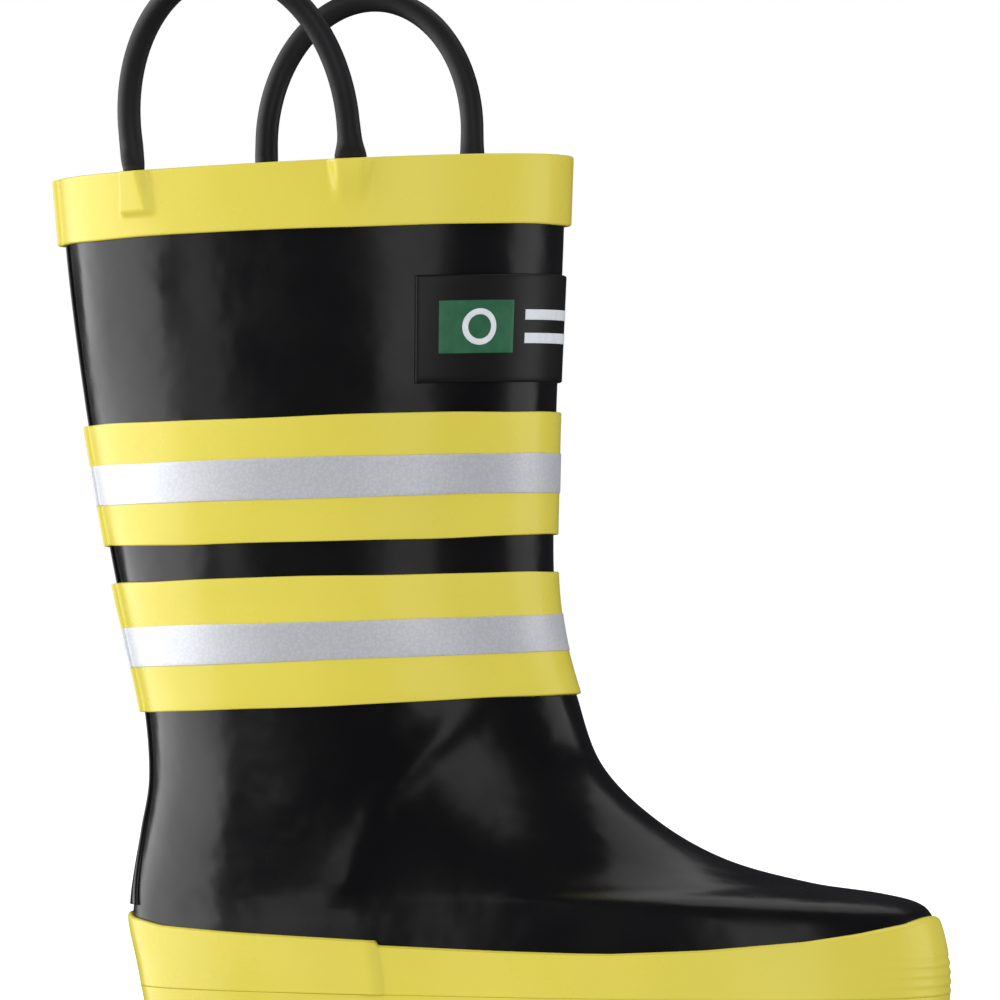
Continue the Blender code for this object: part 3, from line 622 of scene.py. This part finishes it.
def label():
    def patch_of(span, heights):
        low, high = (level_at_heel(z) for z in heights)
        first, last = (math.radians(a) for a in span)

        def place(u, v):
            theta = (first + last) / 2.0 + u * (last - first) / 2.0
            level = (low + high) / 2.0 + v * (high - low) / 2.0
            return surface(theta, level), normal(theta, level)

        across = surface(np.linspace(first, last, 40), (low + high) / 2.0)
        arc = np.linalg.norm(np.diff(across, axis=0), axis=1).sum()
        return place, arc, high - low

    place, arc, tall = patch_of((-55.0, 20.0), (165.6, 190.6))
    pad(
        "label_patch_rubber", LABEL, place, SEAT, PATCH, (60, arc), (20, tall), 0.5,
        nodes=["label_patch"], slot="label_rubber",
    )
    place, arc, tall = patch_of((-48.6, -24.0), FIELD_Z)
    pad(
        "label_field_print", GREEN, place, PRINT_BASE, PRINT, (24, arc), (14, tall), 0.15,
        nodes=["label_field"], slot="green_print",
    )
    for name, heights in (("label_bar_lower", (174.6, 177.0)), ("label_bar_upper", (180.0, 182.4))):
        place, arc, tall = patch_of((-19.0, 12.0), heights)
        pad(
            name + "_print", PALE, place, PRINT_BASE, PRINT, (24, arc), (4, tall), 0.15,
            nodes=[name], slot="pale_print",
        )

    centre, middle = math.radians(-36.3), sum(level_at_heel(z) for z in FIELD_Z) / 2.0
    after, before = (surface(np.array(centre + step), np.array(middle)) for step in (0.02, -0.02))
    per_radian = float(np.linalg.norm(after - before) / 0.04)
    turns = np.linspace(0.0, 2.0 * math.pi, 48, endpoint=False)
    rows = []
    for radius, lift in ((2.9, 1.2), (2.95, 1.36), (3.1, 1.42), (4.2, 1.42), (4.35, 1.36), (4.4, 1.2)):
        angles, levels = centre + radius * np.cos(turns) / per_radian, middle + radius * np.sin(turns)
        rows.append(raised(angles, levels, np.full(48, lift)))
    add_mesh(
        "label_ring_print", rows, grid_faces(len(rows), 48, True, True), PALE,
        nodes=["label_disc"], slot="pale_print",
    )


label()


# Foxing and sole -----------------------------------------------------------------------


def foxing():
    thetas = dense([(-112.0, -96.0, 60)])
    where = surface(thetas, level_at(thetas, np.full_like(thetas, 34.0)))[..., 0]
    top = np.interp(where, FOXING_TOP[:, 0], FOXING_TOP[:, 1])
    outer_side = thetas < 0
    ridge = smooth((where + 33.6) / 1.4) * (1.0 - smooth((where + 30.1) / 0.5))
    behind = 1.0 - smooth((where + 30.1) / 0.5)
    lap_rise = np.where(outer_side, 0.55 * ridge + 0.25 * behind * smooth((where + 60.0) / 20.0), 0.0)
    plain = np.delete(FOXING_TOP, FOXING_LAP_ROWS, axis=0)
    top = np.where(outer_side, top, np.interp(where, plain[:, 0], plain[:, 1]))
    ends = np.exp(-((np.degrees(np.abs(thetas)) / 30.0) ** 4))

    def row(share, wall, down=0.0):
        height = FOXING_BOTTOM + (top - down - FOXING_BOTTOM) * share
        ribs = 0.16 * ends * np.sin((height - 22.9) * 2 * math.pi / 2.3) * (height < 32.1)
        rise = np.where(wall > 0.2, lap_rise + ribs, 0.0)
        return at_height(thetas, height, wall + rise)

    rows = [row(share, 0.05) for share in np.linspace(0.0, 1.0, 12)]
    rows += [row(1.0, 0.75), row(1.0, 1.05, 0.12), row(1.0, 1.28, 0.42)]
    for share in np.linspace(0.965, 0.02, 46):
        rows.append(row(share, 2.1 - 0.72 * share))
    rows.append(row(0.0, 2.06))
    add_mesh(
        "foxing_rubber", rows, grid_faces(len(rows), len(thetas), True, True), FOXING,
        nodes=["foxing_strip"], slot="yellow_rubber",
    )


foxing()


def ladder(first, columns):
    """Quads that close a ring whose angles run from -180 degrees, by joining mirror angles."""
    half = columns // 2
    faces = [[first, first + 1, first + columns - 1]]
    for k in range(1, half - 1):
        faces.append([first + k, first + k + 1, first + columns - k - 1, first + columns - k])
    faces.append([first + half - 1, first + half, first + half + 1])
    return faces


def capped(name, rings, material, **more):
    columns = len(rings[0])
    faces = grid_faces(len(rings), columns, False, True)
    faces += ladder(0, columns) + ladder((len(rings) - 1) * columns, columns)
    return add_mesh(name, rings, faces, material, **more)


def outsole():
    thetas = circle(200)

    def bottom(inset, rise):
        ring = outline(thetas, inset, lambda x: 0.0 * x)
        ring[:, 2] = np.interp(ring[:, 0], SOLE_LINE[:, 0], SOLE_LINE[:, 1]) + rise
        return ring

    base = base_z(surface(thetas, 0.0)[..., 0]) + 0.2
    rings = [bottom(6.0, 0.0), bottom(-0.7, 0.0), bottom(-1.35, 0.25), bottom(-1.7, 0.7), bottom(-1.85, 1.3)]
    for share in np.linspace(0.1, 1.0, 8):
        low = bottom(-1.9, 1.6)
        high = at_height(thetas, base, 2.05)
        rings.append(low + (high - low) * share)
    for share in np.linspace(0.1, 1.0, 8):
        height = base + (22.25 - base) * share
        rings.append(at_height(thetas, height, 2.1))
    rings += [at_height(thetas, 22.8, 2.08), at_height(thetas, 22.86, 2.0), at_height(thetas, 22.86, 0.1)]
    rings += [at_height(thetas, base, 0.1), outline(thetas, -0.1, lambda x: -1.9 + 0 * x)]
    sole = capped("tread_rubber", rings, FOXING, body=None)
    points, faces = [], []
    for x, half in GROOVES:
        first = len(points)
        plan = [
            (x - 1.5, -half), (x + 1.5, -half), (x + 6.5, 0.0),
            (x + 1.5, half), (x - 1.5, half), (x + 3.5, 0.0),
        ]
        for z in (-2.0, 2.2):
            points += [(px, py, z) for px, py in plan]
        faces += [[first + k for k in range(5, -1, -1)], [first + k for k in range(6, 12)]]
        for k in range(6):
            after = (k + 1) % 6
            faces.append([first + k, first + after, first + 6 + after, first + 6 + k])
    cutter = add_mesh("grooves", points, faces, FOXING, body=None)
    cut = sole.modifiers.new("tread", "BOOLEAN")
    cut.operation = "DIFFERENCE"
    cut.solver = "EXACT"
    cut.object = cutter
    graph = bpy.context.evaluated_depsgraph_get()
    done = bpy.data.meshes.new_from_object(sole.evaluated_get(graph))
    sole.modifiers.clear()
    sole.data = done
    done.set_sharp_from_angle(angle=math.radians(38.0))
    bpy.data.objects.remove(cutter, do_unlink=True)
    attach(sole, "boot")
    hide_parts("outsole")


outsole()


def insole():
    thetas = circle(160)

    def foam_top(x):
        return 2.2 + 4.0 - smooth((x + 60.0) / 80.0)

    rings = []
    for inset, down in ((6.0, 0.0), (5.1, 0.0), (4.85, 0.25)):
        rings.append(outline(thetas, inset, lambda x: 2.2 + down + 0 * x))
    for inset, down in ((4.85, 0.3), (5.0, 0.05), (5.4, 0.0)):
        rings.append(outline(thetas, inset, lambda x: foam_top(x) - down))
    foam = capped("insole_foam_pad", rings, FOAM, body="insole", nodes=["insole_foam"], slot="sole_foam")
    rings = []
    edge = ((5.6, 0.05), (4.95, 0.05), (4.8, 0.3), (4.85, 0.7), (5.1, 0.92), (5.7, 1.0), (9.0, 1.02))
    for inset, rise in edge:
        rings.append(outline(thetas, inset, lambda x: foam_top(x) + rise))
    capped("insole_cover_cloth", rings, COVER, body="insole", nodes=["insole_cover"], slot="insole_cloth")


insole()


# The pull handles ----------------------------------------------------------------------


def root_frame(degrees):
    theta, top = np.array(math.radians(degrees)), np.array(TOP)
    out = normal(theta, top)
    around = unit(surface(theta + 0.02, top) - surface(theta - 0.02, top))
    return surface(theta, top), around, np.cross(out, around), out


def handle(side):
    height, lean = LOOPS[side]
    ends, legs = [], []
    for place, degrees in enumerate(ROOTS[side]):
        rim, around, up, out = root_frame(degrees)
        ends.append(rim + up * HINGE_RISE + out * STUB_OUT)
        theta = math.radians(degrees)
        leg = []
        for depth, wide, thick in TAB_ROWS:
            if place == 0:
                wide = 3.0 + 0.9 * (1.0 - depth / 12.0)
            centre = raised(np.array(theta), np.array(TOP - depth), np.array(0.15 + thick))
            leg.append((centre, wide, thick, out))
        flare = 0.75 if place == 0 else 0.2
        for rise, wide, thick in ((0.6, 1.0, 0.62), (1.6, 0.8, 0.8), (2.8, 0.5, 0.93), (4.0, 0.25, 1.0)):
            shift = 1.6 + (STUB_OUT - 1.6) * smooth(np.array(rise / 4.0))
            leg.append((rim + up * rise + out * shift, HANDLE_R + flare * wide * 1.4, HANDLE_R * thick, out))
        legs.append(leg)
    pivot = (ends[0] + ends[1]) / 2.0
    along = unit(ends[0] - ends[1])
    half = float(np.linalg.norm(ends[0] - ends[1]) / 2.0)
    angle = math.radians(lean)
    rise = np.array([0.0, math.sin(angle), math.cos(angle)])
    rise = unit(rise - along * rise.dot(along))
    facing = unit(np.cross(along, rise))
    facing = facing * np.sign(facing.dot(legs[0][0][3]))
    track = list(legs[0])
    track.append((ends[0] + rise * 1.0, HANDLE_R * 1.03, HANDLE_R, facing))
    arch = height - 4.0
    for turned in np.linspace(0.0, math.pi, 61):
        place = pivot + along * half * math.cos(turned) + rise * (4.0 + arch * math.sin(turned))
        track.append((place, HANDLE_R, HANDLE_R, facing))
    track.append((ends[1] + rise * 1.0, HANDLE_R * 1.02, HANDLE_R, facing))
    track += legs[1][::-1]
    centres = np.array([t[0] for t in track])
    tangent = unit(np.gradient(centres, axis=0))
    turns = np.linspace(0.0, 2.0 * math.pi, 24, endpoint=False)
    rings = []
    for (centre, wide, thick, out), ahead in zip(track, tangent):
        across = unit(out - ahead * out.dot(ahead))
        side_way = np.cross(ahead, across)
        ring = np.outer(np.cos(turns) * wide, side_way) + np.outer(np.sin(turns) * thick, across)
        rings.append(centre + ring)
    faces = grid_faces(len(rings), 24, False, True)
    last = (len(rings) - 1) * 24
    faces += [list(range(23, -1, -1)), list(range(last, last + 24))]
    loop = add_mesh(f"handle_{side}_cord", rings, faces, HANDLE, body=None)
    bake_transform(loop)
    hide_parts(f"handle_{side}_loop", f"handle_{side}_root_front", f"handle_{side}_root_rear")


for handle_side in ROOTS:
    handle(handle_side)

for node in ("toe_puff", "heel_counter", "insole_board"):
    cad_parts[node].data.materials.clear()
    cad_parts[node].data.materials.append(FIBRE)
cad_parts["sole_filler"].data.materials.clear()
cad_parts["sole_filler"].data.materials.append(FOAM)


# Floor, light and camera -------------------------------------------------------------------


def add_floor():
    """A pale floor with a little light of its own, so that it meets the white background."""
    bpy.ops.mesh.primitive_plane_add(size=8.0, location=(0.0, 0.0, -0.0002))
    floor = bpy.context.object
    floor.name = "pale_floor"
    material, nodes, links, shader = new_material("pale_floor", (0.92, 0.92, 0.92), 0.8, specular=0.1)
    links.new(
        blend_colours(nodes, links, noise(nodes, links, 4.0), (0.91, 0.91, 0.91), (0.93, 0.93, 0.93)),
        shader.inputs["Base Color"],
    )
    shader.inputs["Emission Color"].default_value = (1.0, 1.0, 1.0, 1.0)
    shader.inputs["Emission Strength"].default_value = 0.42
    floor.data.materials.append(material)
    floor.visible_glossy = False
    floor.visible_diffuse = False


def softbox(name, azimuth, elevation, distance, width, height, power):
    """An area light aimed at the boot. Azimuth 0 stands on the -Y side, 90 on the +X side."""
    light = bpy.data.lights.new(name, "AREA")
    light.shape = "RECTANGLE"
    light.size, light.size_y = width, height
    light.energy = power
    lamp = bpy.data.objects.new(name, light)
    a, e = math.radians(azimuth), math.radians(elevation)
    middle = Vector((0.0, 0.0, 0.12))
    towards = Vector((math.sin(a) * math.cos(e), -math.cos(a) * math.cos(e), math.sin(e)))
    lamp.location = middle + towards * distance
    lamp.rotation_euler = (middle - lamp.location).to_track_quat("-Z", "Y").to_euler()
    bpy.context.scene.collection.objects.link(lamp)


def add_world():
    """White to the camera, soft to matt surfaces and near-black in reflections."""
    world = bpy.data.worlds.new("studio")
    world.use_nodes = True
    nodes, links = world.node_tree.nodes, world.node_tree.links
    back = nodes["Background"]
    path = nodes.new("ShaderNodeLightPath")
    glossy = path.outputs["Is Glossy Ray"]
    tones = blend_colours(nodes, links, glossy, (0.85, 0.85, 0.87), (0.03, 0.03, 0.035))
    seen = nodes.new("ShaderNodeMix")
    seen.data_type = "RGBA"
    seen.inputs["B"].default_value = (1.0, 1.0, 1.0, 1.0)
    links.new(path.outputs["Is Camera Ray"], seen.inputs["Factor"])
    links.new(tones, seen.inputs["A"])
    links.new(seen.outputs["Result"], back.inputs["Color"])
    back.inputs["Strength"].default_value = 1.0
    bpy.context.scene.world = world


add_floor()
add_world()
softbox("left_softbox", -86.0, 10.0, 1.1, 1.5, 1.4, 13.0)
softbox("left_edge", -37.0, 12.0, 1.3, 0.35, 1.3, 1.0)
softbox("front_softbox", 29.0, 12.0, 1.6, 0.75, 1.3, 2.6)
softbox("right_strip", 118.0, 3.0, 1.4, 0.9, 0.9, 1.9)
softbox("top_softbox", 170.0, 62.0, 1.5, 1.6, 1.2, 4.0)

VIEW = math.radians(18.0)
DISTANCE = 2300.0
camera_data = bpy.data.cameras.new("photo_camera")
camera_data.lens = 36.0 * DISTANCE / 240.0
camera_data.clip_end = 100.0
camera = bpy.data.objects.new("photo_camera", camera_data)
ahead = np.array([-math.sin(VIEW), math.cos(VIEW), 0.0])
right = np.array([math.cos(VIEW), math.sin(VIEW), 0.0])
spot = -DISTANCE * ahead - 9.6 * right + np.array([0.0, 0.0, 140.4])
camera.location = (spot - FRAME_CENTRE) * MM
camera.rotation_euler = (math.radians(90.0), 0.0, VIEW)
bpy.context.scene.collection.objects.link(camera)
bpy.context.scene.camera = camera
bpy.context.scene.view_settings.view_transform = "Standard"
